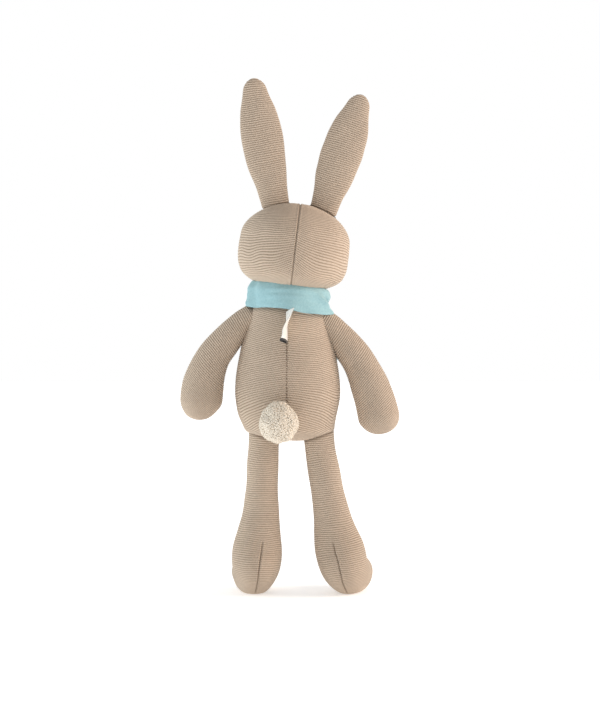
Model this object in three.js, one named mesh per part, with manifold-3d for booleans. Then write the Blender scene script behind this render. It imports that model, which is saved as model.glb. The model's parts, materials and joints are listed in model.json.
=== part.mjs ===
// A standing stuffed bunny: knitted panels sewn over fibrefill, with a pompom tail, a care label in
// the back seam and a cloth scarf tied round the neck.
// Millimetres, +Z up. The toy faces -Y and its own left hand is on +X. The origin is on the floor,
// under the middle of the toy's box.
import * as THREE from 'three';
import { mergeVertices } from 'three/addons/utils/BufferGeometryUtils.js';
import Module from 'manifold-3d';

const at3 = (x, y, z) => new THREE.Vector3(x, y, z);
const flat = (x, y) => new THREE.Vector2(x, y);

// ---------------------------------------------------------------- driving dimensions
const KNIT = 1.3; // thickness of the knitted skins
const FACE_REACH = 60; // far enough forwards to pass the face
const GAP = 0.3; // clearance between sewn or stuffed neighbours
const SEAM = 0.15; // half the gap between two panels
const FILL = KNIT + 1.4; // how far the stuffing lies inside the outer surface
const BODY_Y = -6; // the plane of the shoulders, hips and ears
const TORSO_FOOT = 122; // height of the torso's lowest point
const TORSO_X = 1.5; // the torso leans a little to its own left
const BACK_SEAM_X = 1.9;
const NECK = at3(-0.5, BODY_Y, 231); // where the head nods and turns
const NECK_BALL = 13; // radius of the stuffing that links head and torso
const NECK_OPENING = 14.5; // radius of the sewn neck openings
const HEAD_ROLL = THREE.MathUtils.degToRad(6.3); // the head leans to the toy's own right
const LEFT_EAR_ROOT = at3(10.9, BODY_Y, 304.2);
const LEFT_EAR_TIP = at3(28.4, BODY_Y, 400.5);
const RIGHT_EAR_ROOT = at3(-26.6, BODY_Y, 299.6);
const RIGHT_EAR_TIP = at3(-55.6, BODY_Y, 387.7);
const EYE = { spread: 0.44, height: 40, dome: 4.4, rise: 2.8, post: 1.4, length: 5, pocket: 6.6 };
const WASHER = { play: 0.25, outer: 5.5, depth: 1.5, thick: 1.2 };
const TAIL = { height: 140.5, aside: 5.2, radius: 15.6, squash: 0.92, tall: 1.07, bore: 2 };
const SEAT_HALF_WIDTH = 38; // half width of the torso where the tail sits
const LABEL = { foot: 196, height: 24, depth: 17, ribbon: 0.35, loop: 0.5, turn: 18 };
const SCARF = { inner: 24.5, outer: 32.5, height: 23, squash: 0.9, roll: -6.5, pitch: 7 };
const KNOT = at3(-5, BODY_Y - 33.5, 219);
const KNOT_HALF = at3(8.6, 6, 7); // half sizes of the knot
const KNOT_ROOM = 9.4; // how far the band stays from the knot's middle
const SCARF_END = { length: 38, width: 20, waist: 11, thick: 2.4, spread: 34, slant: 5, apart: 7.5 };
const SHOULDERS = { left: at3(34.6, BODY_Y, 207), right: at3(-31.6, BODY_Y, 207.5) };
const SHOULDER_FLARE = 0.3; // how fast the arm's root draws back from the torso round its hinge
const LIMB_OPENING = 5; // radius of the holes where limbs are sewn on
const FLOOR_SIZE = 400;

// ---------------------------------------------------------------- materials
const finish = (color, roughness, metalness = 0) =>
  new THREE.MeshStandardMaterial({ color, roughness, metalness });
const TAUPE_KNIT = finish('#b5a592', 0.95);
const FIBREFILL = finish('#f2efe8', 0.98);
const CREAM_YARN = finish('#e0d6c5', 0.97);
const BLUE_CLOTH = finish('#a3c8cf', 0.9);
const LABEL_SATIN = finish('#e6e4de', 0.55);
const EYE_PLASTIC = finish('#1c1614', 0.15);
const WASHER_PLASTIC = finish('#efefec', 0.5);
const EMBROIDERY = finish('#6f5548', 0.7);

// ---------------------------------------------------------------- solids
const wasm = await Module();
wasm.setup();

function toSolid(geometry) {
  const bare = geometry.clone();
  bare.deleteAttribute('normal');
  bare.deleteAttribute('uv');
  const merged = mergeVertices(bare, 1e-4);
  const vertProperties = new Float32Array(merged.attributes.position.array);
  const triVerts = new Uint32Array(merged.index.array);
  return new wasm.Manifold(new wasm.Mesh({ numProp: 3, vertProperties, triVerts }));
}

function toGeometry(solid) {
  const mesh = solid.getMesh();
  const geometry = new THREE.BufferGeometry();
  geometry.setAttribute('position', new THREE.BufferAttribute(mesh.vertProperties, 3));
  geometry.setIndex(new THREE.BufferAttribute(mesh.triVerts, 1));
  return geometry;
}

// Everything behind the plane through a point, which looks along the normal.
function behind(point, normal) {
  const block = new THREE.BoxGeometry(FLOOR_SIZE * 2, FLOOR_SIZE * 2, FLOOR_SIZE * 2);
  block.translate(0, 0, -FLOOR_SIZE);
  const turn = new THREE.Quaternion().setFromUnitVectors(new THREE.Vector3(0, 0, 1), normal);
  block.applyQuaternion(turn);
  block.translate(point.x, point.y, point.z);
  return toSolid(block);
}

// A round rod between two points.
function rod(from, to, radius, sides = 20) {
  const along = new THREE.Vector3().subVectors(to, from);
  const geometry = new THREE.CylinderGeometry(radius, radius, along.length(), sides);
  const up = new THREE.Vector3(0, 1, 0);
  geometry.applyQuaternion(new THREE.Quaternion().setFromUnitVectors(up, along.clone().normalize()));
  const middle = new THREE.Vector3().addVectors(from, to).multiplyScalar(0.5);
  geometry.translate(middle.x, middle.y, middle.z);
  return toSolid(geometry);
}

function ball(centre, radius, sides = 20) {
  const geometry = new THREE.SphereGeometry(radius, sides, Math.round(sides * 0.6));
  geometry.translate(centre.x, centre.y, centre.z);
  return toSolid(geometry);
}

// ---------------------------------------------------------------- soft forms
// How full a ring is at a distance from a rounded end: 0 at the end, 1 past the cap.
function roundness(distance, cap) {
  const left = THREE.MathUtils.clamp(1 - distance / cap, 0, 1);
  return Math.sqrt(1 - left * left);
}

// A stuffed tube: elliptical rings threaded on a smooth spine, with a round cap at each end.
// A station is [x, y, z, half width, half depth]; the depth lies along the depth axis.
class SoftForm {
  constructor({ stations, startCap, endCap, sides = 12, rings = 12, depthAxis = [0, 1, 0] }) {
    this.spine = new THREE.CatmullRomCurve3(
      stations.map(([x, y, z]) => new THREE.Vector3(x, y, z)));
    this.girth = new THREE.CatmullRomCurve3(
      stations.map(([, , , width, depth]) => new THREE.Vector3(width, depth, 0)));
    this.caps = [startCap, endCap];
    this.sides = sides;
    this.rings = rings;
    this.depthAxis = new THREE.Vector3(...depthAxis);
    this.length = this.spine.getLength();
  }

  // The point at a distance along the spine and an angle round it, moved in by the inset. Past an
  // end, the spine goes on straight.
  point(distance, angle, inset = 0) {
    const onSpine = THREE.MathUtils.clamp(distance, 0, this.length);
    const t = this.spine.getUtoTmapping(0, onSpine);
    const tangent = this.spine.getTangent(t);
    const wide = new THREE.Vector3().crossVectors(tangent, this.depthAxis).normalize();
    const deep = new THREE.Vector3().crossVectors(wide, tangent);
    const girth = this.girth.getPoint(t);
    const full = roundness(distance - inset, this.caps[0] - inset)
      * roundness(this.length - distance - inset, this.caps[1] - inset);
    return this.spine.getPoint(t)
      .addScaledVector(tangent, distance - onSpine)
      .addScaledVector(wide, Math.cos(angle) * (girth.x - inset) * full)
      .addScaledVector(deep, Math.sin(angle) * (girth.y - inset) * full);
  }

  normal(distance, angle) {
    const step = 0.01;
    const here = this.point(distance, angle);
    const along = this.point(distance + step, angle).sub(here);
    const round = this.point(distance, angle + step).sub(here);
    return new THREE.Vector3().crossVectors(along, round).normalize();
  }

  // The closed solid inside the surface moved in by the inset; a negative inset swells it.
  solid(inset = 0, sides = this.sides, rings = this.rings) {
    const { length } = this;
    const points = [this.point(inset, 0, inset)];
    for (let ring = 1; ring < rings; ring += 1) {
      const share = (1 - Math.cos(Math.PI * ring / rings)) / 2;
      const distance = inset + (length - 2 * inset) * share;
      for (let side = 0; side < sides; side += 1) {
        points.push(this.point(distance, 2 * Math.PI * side / sides, inset));
      }
    }
    points.push(this.point(length - inset, 0, inset));
    const last = points.length - 1;
    const at = (ring, side) => 1 + (ring - 1) * sides + side % sides;
    const faces = [];
    for (let side = 0; side < sides; side += 1) {
      faces.push(0, at(1, side), at(1, side + 1));
      for (let ring = 1; ring < rings - 1; ring += 1) {
        faces.push(at(ring, side), at(ring + 1, side), at(ring + 1, side + 1));
        faces.push(at(ring, side), at(ring + 1, side + 1), at(ring, side + 1));
      }
      faces.push(at(rings - 1, side), last, at(rings - 1, side + 1));
    }
    const geometry = new THREE.BufferGeometry().setFromPoints(points);
    geometry.setIndex(faces);
    return toSolid(geometry);
  }

  // The filling inside the skin, with fewer facets than the skin.
  filling() {
    return this.solid(FILL, Math.round(this.sides * 0.8), Math.round(this.rings * 0.75));
  }
}

// ---------------------------------------------------------------- the forms of the toy
const torsoForm = new SoftForm({
  stations: [
    [TORSO_X, BODY_Y, TORSO_FOOT, 36, 26.5],
    [TORSO_X, BODY_Y, 136, 38, 28.5],
    [TORSO_X, BODY_Y, 154, 40.6, 29.5],
    [TORSO_X, BODY_Y, 172, 39.8, 29],
    [TORSO_X, BODY_Y, 190, 36.8, 27],
    [TORSO_X, BODY_Y, 208, 32, 24],
    [TORSO_X, BODY_Y, 219, 28.2, 22],
    [TORSO_X, BODY_Y, 229.5, 26, 20.5],
  ],
  startCap: 14,
  endCap: 12,
  sides: 20,
});

const headAxis = new THREE.Vector3(-Math.sin(HEAD_ROLL), 0, Math.cos(HEAD_ROLL));
const headStation = ([height, width, depth]) =>
  [...NECK.clone().addScaledVector(headAxis, height), width, depth];
const headForm = new SoftForm({
  stations: [
    [5, 36, 34],
    [14, 38, 37],
    [24, 42, 40],
    [36, 43.2, 41],
    [46, 42.4, 40],
    [58, 41.2, 38.5],
    [73, 40, 37],
  ].map(headStation),
  startCap: 16,
  endCap: 27,
  sides: 20,
  rings: 13,
});

// A flat leaf shape from root to tip, bowed sideways; shares of the length and half widths.
function earForm(root, tip, bow) {
  const outline = [[0, 10.6, 5], [0.12, 11.8, 5], [0.3, 15, 5], [0.45, 16, 4.8], [0.65, 15.7, 4.4],
    [0.75, 14.2, 4], [0.85, 11.2, 3.6], [1, 8.4, 3.2]];
  const stations = outline.map(([share, width, depth]) => {
    const place = new THREE.Vector3().lerpVectors(root, tip, share);
    place.x += bow * Math.sin(Math.PI * share);
    return [...place, width, depth];
  });
  return new SoftForm({ stations, startCap: 5, endCap: 8, sides: 10, rings: 12 });
}
const leftEarForm = earForm(LEFT_EAR_ROOT, LEFT_EAR_TIP, 1.9);
const rightEarForm = earForm(RIGHT_EAR_ROOT, RIGHT_EAR_TIP, 2.1);

// The upper arm leaves the shoulder sideways, and the hand hangs almost straight down.
function armForm(spine) {
  const girths = [[10, 10], [10.8, 11], [12.1, 12], [13.6, 13], [15, 14], [16.2, 14.6], [16.4, 14.8],
    [16, 14.5], [15.5, 14.5]];
  const stations = spine.map(([x, z], index) => [x, BODY_Y, z, ...girths[index]]);
  return new SoftForm({ stations, startCap: 8, endCap: 14 });
}
const leftArmForm = armForm([
  [36.6, 210], [42.5, 204.5], [51, 195.5], [59, 185], [64.2, 173.5], [67.4, 162], [68.7, 151.5],
  [68.6, 143], [67.4, 134.8],
]);
const rightArmForm = armForm([
  [-33.6, 211], [-39, 205.5], [-46.8, 196], [-53.2, 185], [-58.4, 172.5], [-62.4, 159.5],
  [-66, 147], [-68.4, 136], [-69.6, 126],
]);

// A leg is a tube that swells into the heel; the foot is a second form that runs forward.
function legForm(spine) {
  const girths = [[12, 12], [12, 12], [12, 12], [12.2, 12.2], [14.6, 13.6], [17, 15.5], [19, 17.5],
    [18.9, 18], [17.2, 17.2], [16.5, 16.5]];
  const stations = spine.map(([x, z], index) => [x, BODY_Y, z, ...girths[index]]);
  return new SoftForm({ stations, startCap: 12, endCap: 16, rings: 14 });
}
const leftLegForm = legForm([
  [19.4, 123.2], [20, 111], [20.7, 96], [21.4, 78], [22.6, 61], [24, 49], [25.8, 32], [26.8, 21],
  [27.6, 10], [28.4, -5],
]);
const rightLegForm = legForm([
  [-22, 123.4], [-23.4, 111.2], [-25.4, 96], [-28.4, 78], [-32.4, 61], [-35.6, 49], [-39.6, 32],
  [-41.6, 21], [-43, 10], [-44.4, -5],
]);

function footForm(heel, toe) {
  const middle = new THREE.Vector3().lerpVectors(heel, toe, 0.5);
  const stations = [
    [...heel, 17.5, 17],
    [...middle, 16.5, 16],
    [...toe, 14.5, 14],
  ];
  return new SoftForm({ stations, startCap: 14, endCap: 14, rings: 8, depthAxis: [0, 0, 1] });
}
const leftFootForm = footForm(
  new THREE.Vector3(27, BODY_Y + 14, 14), new THREE.Vector3(29.5, BODY_Y - 43, 12));
const rightFootForm = footForm(
  new THREE.Vector3(-41, BODY_Y + 14, 14), new THREE.Vector3(-51, BODY_Y - 42, 12));

// Everything that lies below a height, to cut a sole flat.
function floorBelow(height) {
  return behind(new THREE.Vector3(0, 0, height), new THREE.Vector3(0, 0, 1));
}

// The leg and foot as one solid, standing flat on the floor.
function legSolid(leg, foot, inset) {
  return leg.solid(inset).add(foot.solid(inset)).subtract(floorBelow(inset));
}

// ---------------------------------------------------------------- the toy
const bunny = new THREE.Group();
bunny.name = 'stuffed_bunny';

function place(name, geometry, material, parent = bunny) {
  const mesh = new THREE.Mesh(geometry, material);
  mesh.name = name;
  parent.add(mesh);
  return mesh;
}

const LEFTWARDS = at3(1, 0, 0);
const BACKWARDS = at3(0, 1, 0);
const neckBall = ball(NECK, NECK_BALL);
const neckPocket = ball(NECK, NECK_BALL + GAP * 3);
const neckOpening = rod(NECK.clone().addScaledVector(headAxis, -22),
  NECK.clone().addScaledVector(headAxis, 22), NECK_OPENING, 24);

// The part of a shell on the far side of a seam plane, half a seam's gap away from it.
function panel(shell, seamPoint, towards) {
  const edge = seamPoint.clone().addScaledVector(towards, SEAM);
  return shell.intersect(behind(edge, towards.clone().negate()));
}

function makeTorso() {
  const shell = torsoForm.solid().subtract(torsoForm.solid(KNIT)).subtract(neckOpening);
  const side = at3(0, BODY_Y, 0);
  const back = panel(shell, side, BACKWARDS);
  const seam = at3(BACK_SEAM_X, 0, 0);
  place('torso_back_left_panel', toGeometry(panel(back, seam, LEFTWARDS)), TAUPE_KNIT);
  place('torso_back_right_panel',
    toGeometry(panel(back, seam, LEFTWARDS.clone().negate())), TAUPE_KNIT);
  place('torso_front_panel',
    toGeometry(panel(shell, side, BACKWARDS.clone().negate())), TAUPE_KNIT);
  place('torso_stuffing', toGeometry(torsoForm.filling().subtract(neckPocket)), FIBREFILL);
  place('neck_stuffing', toGeometry(neckBall), FIBREFILL);
}

// An eye is a domed button on a post that a washer locks inside the head; side is 1 for the left.
function eyeSeat(side) {
  const angle = -Math.PI / 2 - side * EYE.spread;
  const outward = headForm.normal(EYE.height, angle);
  return { point: headForm.point(EYE.height, angle), outward };
}

function makeEye(name, seat) {
  const { dome, rise, post, length } = EYE;
  const profile = [flat(0, -length), flat(post, -length), flat(post, 0), flat(dome, 0)];
  const steps = 4;
  for (let step = 1; step < steps; step += 1) {
    const angle = Math.PI / 2 * step / steps;
    profile.push(flat(dome * Math.cos(angle), rise * Math.sin(angle)));
  }
  profile.push(flat(0, rise));
  const eye = place(name, new THREE.LatheGeometry(profile, 12), EYE_PLASTIC);
  eye.position.copy(seat.point).addScaledVector(seat.outward, GAP);
  eye.quaternion.setFromUnitVectors(BACKWARDS, seat.outward);

  const [inner, outer, thick] = [post + WASHER.play, WASHER.outer, WASHER.thick];
  const top = -KNIT - WASHER.depth;
  const ring = [flat(inner, top - thick), flat(outer, top - thick), flat(outer, top),
    flat(inner, top), flat(inner, top - thick)];
  const washer = place(`${name}_washer`, new THREE.LatheGeometry(ring, 12), WASHER_PLASTIC);
  washer.position.copy(eye.position);
  washer.quaternion.copy(eye.quaternion);
}

// A pad of satin stitches that follows the head's curve inside an outline in its front view.
function stitchedPad(name, outline, from, to) {
  const prism = new THREE.ExtrudeGeometry(outline, {
    depth: FACE_REACH,
    bevelEnabled: false,
    curveSegments: 4,
  });
  prism.rotateX(Math.PI / 2);
  prism.rotateY(-HEAD_ROLL);
  prism.translate(NECK.x, BODY_Y - 5, NECK.z);
  const pad = toSolid(prism).intersect(headForm.solid(-to)).subtract(headForm.solid(-from));
  place(name, toGeometry(pad), EMBROIDERY);
}

function makeHead() {
  const seats = { left_eye: eyeSeat(1), right_eye: eyeSeat(-1) };
  let shell = headForm.solid().subtract(headForm.solid(KNIT)).subtract(neckOpening);
  let stuffing = headForm.filling().subtract(neckPocket);
  for (const [name, { point, outward }] of Object.entries(seats)) {
    const start = point.clone().addScaledVector(outward, 3);
    const end = point.clone().addScaledVector(outward, -EYE.length - 1);
    shell = shell.subtract(rod(start, end, EYE.post + 0.3, 12));
    stuffing = stuffing.subtract(rod(start, end, EYE.pocket, 16));
    makeEye(name, seats[name]);
  }
  const across = new THREE.Vector3().crossVectors(BACKWARDS, headAxis).normalize();
  place('head_left_panel', toGeometry(panel(shell, NECK, across)), TAUPE_KNIT);
  place('head_right_panel', toGeometry(panel(shell, NECK, across.clone().negate())), TAUPE_KNIT);
  place('head_stuffing', toGeometry(stuffing), FIBREFILL);

  const nose = new THREE.Shape();
  nose.moveTo(-5, 33.5);
  nose.quadraticCurveTo(0, 35, 5, 33.5);
  nose.quadraticCurveTo(4.4, 29.5, 0, 27.5);
  nose.quadraticCurveTo(-4.4, 29.5, -5, 33.5);
  stitchedPad('nose', nose, GAP, 1.7);

  const mouth = new THREE.Shape();
  mouth.moveTo(-0.5, 26.9);
  mouth.lineTo(0.5, 26.9);
  mouth.lineTo(0.5, 22.4);
  mouth.quadraticCurveTo(3, 20.6, 5.6, 21.6);
  mouth.lineTo(5.9, 20.7);
  mouth.quadraticCurveTo(2.6, 19.5, 0, 21.6);
  mouth.quadraticCurveTo(-2.6, 19.5, -5.9, 20.7);
  mouth.lineTo(-5.6, 21.6);
  mouth.quadraticCurveTo(-3, 20.6, -0.5, 22.4);
  mouth.closePath();
  stitchedPad('mouth', mouth, GAP, 1.2);
}

// Two knitted leaves sewn round the rim, with a thin wadding between them.
function makeEar(side, form) {
  const shell = form.solid().subtract(form.solid(KNIT));
  const rim = at3(0, BODY_Y, 0);
  place(`${side}_ear_back`, toGeometry(panel(shell, rim, BACKWARDS)), TAUPE_KNIT);
  place(`${side}_ear_front`, toGeometry(panel(shell, rim, BACKWARDS.clone().negate())), TAUPE_KNIT);
  place(`${side}_ear_wadding`, toGeometry(form.filling()), FIBREFILL);
}

// The room that the torso needs beside a swinging arm: a cone round the shoulder's hinge, which
// runs along X. Outward is 1 on the left side and -1 on the right.
function shoulderRoom(point, outward, inset) {
  const [reach, far] = [40, 60];
  const profile = [flat(0, 0), flat(reach, reach * SHOULDER_FLARE), flat(reach, -far), flat(0, -far)];
  const room = new THREE.LatheGeometry(profile.reverse(), 24);
  room.rotateZ(-outward * Math.PI / 2);
  room.translate(point.x + outward * inset, point.y, point.z);
  return toSolid(room);
}

// The arm's tube lies against the torso, and is open where it is sewn to the shoulder.
function makeArm(side, form) {
  const root = form.point(0, 0);
  const opening = rod(root, form.spine.getPoint(0.1), LIMB_OPENING, 12);
  const outward = side === 'left' ? 1 : -1;
  const skin = form.solid().subtract(form.solid(KNIT)).subtract(opening)
    .subtract(shoulderRoom(SHOULDERS[side], outward, 0));
  place(`${side}_arm_skin`, toGeometry(skin), TAUPE_KNIT);
  const stuffing = form.filling().subtract(shoulderRoom(SHOULDERS[side], outward, FILL));
  place(`${side}_arm_stuffing`, toGeometry(stuffing), FIBREFILL);
}

function makeLeg(side, leg, foot) {
  const root = leg.point(0, 0);
  const opening = rod(root, at3(root.x, root.y, root.z - 6), LIMB_OPENING, 12);
  const skin = legSolid(leg, foot, 0).subtract(legSolid(leg, foot, KNIT)).subtract(opening);
  place(`${side}_leg_skin`, toGeometry(skin), TAUPE_KNIT);
  const stuffing = leg.filling().add(foot.filling()).subtract(floorBelow(FILL));
  place(`${side}_leg_stuffing`, toGeometry(stuffing), FIBREFILL);
}

// A yarn pompom, with its binding thread in a bore that faces the torso.
function makeTail() {
  const { height, aside, radius, squash, tall, bore } = TAIL;
  const bearing = Math.PI / 2 + Math.asin(aside / SEAT_HALF_WIDTH);
  const seat = torsoForm.point(height - TORSO_FOOT, bearing);
  const outward = torsoForm.normal(height - TORSO_FOOT, bearing);
  const depth = radius - 1;
  const profile = [flat(0, -radius + depth), flat(bore, -radius + depth)];
  const steps = 10;
  const first = Math.asin(bore / radius);
  for (let step = 0; step <= steps; step += 1) {
    const angle = first + (Math.PI - first) * step / steps;
    profile.push(flat(radius * Math.sin(angle), -radius * Math.cos(angle)));
  }
  const tail = new THREE.Group();
  tail.position.copy(seat).addScaledVector(outward, radius * squash + 2 * GAP);
  tail.quaternion.setFromUnitVectors(BACKWARDS, outward);
  tail.scale.set(1, squash, tall);
  bunny.add(tail);
  place('tail_pompom', new THREE.LatheGeometry(profile, 16), CREAM_YARN, tail);
  const binding = new THREE.CylinderGeometry(bore - GAP, bore - GAP, depth - GAP, 8);
  const bindingMesh = place('tail_binding_thread', binding, CREAM_YARN, tail);
  bindingMesh.position.y = -radius + (depth - GAP) / 2;
}

// A ribbon folded in half, its two ends held in the back seam.
function makeLabel() {
  const { foot, height, depth, ribbon, loop, turn } = LABEL;
  const half = loop / 2 + ribbon;
  const hairpin = new THREE.Shape();
  hairpin.moveTo(-half, 0);
  hairpin.lineTo(-half, depth);
  hairpin.absarc(0, depth, half, Math.PI, 0, true);
  hairpin.lineTo(half, 0);
  hairpin.lineTo(half - ribbon, 0);
  hairpin.lineTo(half - ribbon, depth);
  hairpin.absarc(0, depth, half - ribbon, 0, Math.PI, false);
  hairpin.lineTo(-half + ribbon, 0);
  hairpin.closePath();
  const geometry = new THREE.ExtrudeGeometry(hairpin, {
    depth: height,
    bevelEnabled: false,
    curveSegments: 5,
  });
  const label = place('care_label', geometry, LABEL_SATIN);
  const low = torsoForm.point(foot - TORSO_FOOT, Math.PI / 2);
  const high = torsoForm.point(foot + height - TORSO_FOOT, Math.PI / 2);
  label.position.set(BACK_SEAM_X, low.y + 4 * GAP, foot);
  label.rotation.set(Math.atan2(low.y - high.y, height), 0, THREE.MathUtils.degToRad(turn));
}

// The band wraps the neck, lower in front; it is cut away where the head, torso and arms touch it.
function makeScarf() {
  const { inner, outer, height, squash, roll, pitch } = SCARF;
  const profile = [
    [inner, -height / 2], [outer - 2, -height / 2 - 0.5], [outer + 0.6, -height / 2 + 2], [outer, 0],
    [outer + 0.2, height / 2 - 2], [outer - 2, height / 2], [inner, height / 2 - 0.5],
    [inner, -height / 2],
  ].map(([radius, level]) => flat(radius, level));
  const ring = new THREE.LatheGeometry(profile, 24);
  ring.rotateX(Math.PI / 2);
  ring.scale(1, squash, 1);
  ring.rotateX(THREE.MathUtils.degToRad(pitch));
  ring.rotateY(THREE.MathUtils.degToRad(roll));
  ring.translate(NECK.x + 1, BODY_Y - 1, NECK.z - 1.5);
  const touching = [torsoForm, headForm, leftArmForm, rightArmForm].map((form) => form.solid(-GAP * 2));
  const band = touching.reduce((rest, neighbour) => rest.subtract(neighbour), toSolid(ring));
  place('scarf_band', toGeometry(band.subtract(ball(KNOT, KNOT_ROOM))), BLUE_CLOTH);

  const knot = place('scarf_knot', new THREE.SphereGeometry(1, 16, 10), BLUE_CLOTH);
  knot.scale.copy(KNOT_HALF);
  knot.position.copy(KNOT);
}

// A tied end: a strip that widens from the knot to a slanted hem, hanging in front of the belly.
function makeScarfEnd(name, side) {
  const { length, width, waist, thick, spread, slant, apart } = SCARF_END;
  const strip = new THREE.Shape();
  strip.moveTo(-side * waist / 2, 0);
  strip.lineTo(-side * waist / 2, -length);
  strip.lineTo(side * (width - waist / 2), -length + slant);
  strip.lineTo(side * waist / 2, 0);
  strip.closePath();
  const geometry = new THREE.ExtrudeGeometry(strip, { depth: thick, bevelEnabled: false });
  geometry.rotateX(Math.PI / 2);
  const end = place(name, geometry, BLUE_CLOTH);
  end.position.set(KNOT.x + side * apart, KNOT.y, KNOT.z - KNOT_HALF.z);
  end.rotation.y = THREE.MathUtils.degToRad(-side * spread);
}

makeTorso();
makeHead();
makeEar('left', leftEarForm);
makeEar('right', rightEarForm);
makeArm('left', leftArmForm);
makeArm('right', rightArmForm);
makeLeg('left', leftLegForm, leftFootForm);
makeLeg('right', rightLegForm, rightFootForm);
makeTail();
makeLabel();
makeScarf();
makeScarfEnd('scarf_left_end', 1);
makeScarfEnd('scarf_right_end', -1);

export default bunny;
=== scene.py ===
"""Looks of the stuffed bunny: knitted skins over fibrefill, a cut-yarn pompom, a satin care label and
a cloth scarf. Lengths are written in millimetres and put into the meshes in metres."""

import json
import math
from functools import partial

import bpy
import numpy as np
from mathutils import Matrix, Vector


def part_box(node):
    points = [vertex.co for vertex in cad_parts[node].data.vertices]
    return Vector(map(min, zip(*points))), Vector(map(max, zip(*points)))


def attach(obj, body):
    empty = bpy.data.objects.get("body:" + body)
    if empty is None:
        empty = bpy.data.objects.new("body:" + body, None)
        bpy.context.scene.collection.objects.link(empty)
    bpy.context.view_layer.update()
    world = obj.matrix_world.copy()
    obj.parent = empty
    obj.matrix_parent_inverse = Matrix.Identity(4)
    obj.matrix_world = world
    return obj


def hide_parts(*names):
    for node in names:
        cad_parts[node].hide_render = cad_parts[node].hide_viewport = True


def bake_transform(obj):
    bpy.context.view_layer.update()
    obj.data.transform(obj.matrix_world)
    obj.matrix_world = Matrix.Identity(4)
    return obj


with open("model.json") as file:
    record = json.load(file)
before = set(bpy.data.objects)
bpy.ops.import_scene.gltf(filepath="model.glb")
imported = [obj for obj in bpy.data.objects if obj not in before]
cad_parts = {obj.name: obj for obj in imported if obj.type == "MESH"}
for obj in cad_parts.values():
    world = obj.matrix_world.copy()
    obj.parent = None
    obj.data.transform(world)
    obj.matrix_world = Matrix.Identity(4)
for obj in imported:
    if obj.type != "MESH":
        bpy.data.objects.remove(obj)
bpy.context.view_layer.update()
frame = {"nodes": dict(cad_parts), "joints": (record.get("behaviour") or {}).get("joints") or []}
MM = 0.001
TAU = 2 * math.pi

# ---------------------------------------------------------------- driving dimensions, in mm
COURSE = 1.65  # height of one knitted row
WALE = 1.25  # width of one stitch
RIB = 0.34  # how far a row of loops stands out of the groove beside it
BODY_Y = -6.0  # plane of the shoulders, hips and ears
NECK = np.array([-0.5, BODY_Y, 231.0])
HEAD_ROLL = math.radians(6.3)  # lean of the head to the toy's own right
HEAD_AXIS = np.array([-math.sin(HEAD_ROLL), 0.0, math.cos(HEAD_ROLL)])
BACK = np.array([0.0, 1.0, 0.0])
BACK_SEAM_X = 1.9
BAR_TALL = 1.7  # the dark bar at the label's foot
THREAD = 0.55  # from one thread of the scarf to the next, as drawn
FLOAT = 0.25  # from one float of the satin to the next, as drawn

JOINTS = {joint["name"]: joint for joint in frame["joints"]}


def joint_place(name):
    """Where a joint sits, in mm."""
    return np.array(JOINTS[name]["pos_m"]) / MM


def middle(node):
    """The middle of a CAD node's box, in mm."""
    low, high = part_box(node)
    return np.array((low + high) / 2) / MM


def size(node):
    """The lengths of a CAD node's box, in mm."""
    low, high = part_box(node)
    return np.array(high - low) / MM


# ---------------------------------------------------------------- working with arrays
def unit(vectors):
    """Vectors divided by their lengths."""
    return vectors / np.maximum(np.linalg.norm(vectors, axis=-1, keepdims=True), 1e-12)


def mix(a, b, share):
    """a at share 0, b at share 1, and a straight line between."""
    return a + (b - a) * share


def smooth(low, high, value):
    """0 below low, 1 above high, and an S-shaped rise between them."""
    t = np.clip((value - low) / (high - low), 0, 1)
    return t * t * (3 - 2 * t)


def bell(value, width):
    """1 at value 0, falling off on both sides as a bell that is a third as high at the width."""
    return np.exp(-((value / width) ** 2))


def through(rows, at):
    """A smooth curve through the rows, read at distances along it. Between two rows it is the cubic
    whose slope at each row is the mean of the straight slopes beside it, weighted by their nearness."""
    rows = np.array(rows, float)
    gap = np.linalg.norm(np.diff(rows[:, :3], axis=0), axis=1)
    stop = np.concatenate([[0], np.cumsum(gap)])
    rise = np.diff(rows, axis=0) / gap[:, None]
    inner = (rise[:-1] * gap[1:, None] + rise[1:] * gap[:-1, None]) / (gap[:-1] + gap[1:])[:, None]
    slope = np.concatenate([rise[:1], inner, rise[-1:]])
    i = np.clip(np.searchsorted(stop, at, "right") - 1, 0, len(gap) - 1)
    t = ((at - stop[i]) / gap[i])[..., None]
    step = gap[i][..., None]
    return (
        (2 * t**3 - 3 * t**2 + 1) * rows[i]
        + (t**3 - 2 * t**2 + t) * slope[i] * step
        + (3 * t**2 - 2 * t**3) * rows[i + 1]
        + (t**3 - t**2) * slope[i + 1] * step
    )


def ripple(points, longest, seed, waves=9):
    """A smooth random field of about 1 either way: sine waves through space in random directions,
    each between half and all of the longest wavelength."""
    draw = np.random.default_rng(seed)
    total = np.zeros(points.shape[:-1])
    for _ in range(waves):
        way = unit(draw.normal(size=3)) * TAU / (longest * draw.uniform(0.5, 1))
        total += np.sin(points @ way + draw.uniform(0, TAU))
    return total / math.sqrt(waves)


def outward(grid):
    """Unit normals of a grid that goes around, pointing away from its middle: the cross product of the
    steps down its columns and round its rows."""
    across = (np.roll(grid, -1, 1) - np.roll(grid, 1, 1)) / 2
    normal = unit(np.cross(np.gradient(grid, axis=0), across))
    away = grid - grid.mean((0, 1))
    return normal if (normal * away).sum() > 0 else -normal


def lengths(grid, axis, around=False):
    """Distance from the first row or column of a grid, measured along the other direction."""
    if around:
        grid = np.concatenate([grid, grid[:, :1]], 1)
    step = np.linalg.norm(np.diff(grid, axis=axis), axis=-1)
    total = np.cumsum(step, axis=axis)
    return np.concatenate([np.zeros_like(np.take(total, [0], axis)), total], axis)


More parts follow.
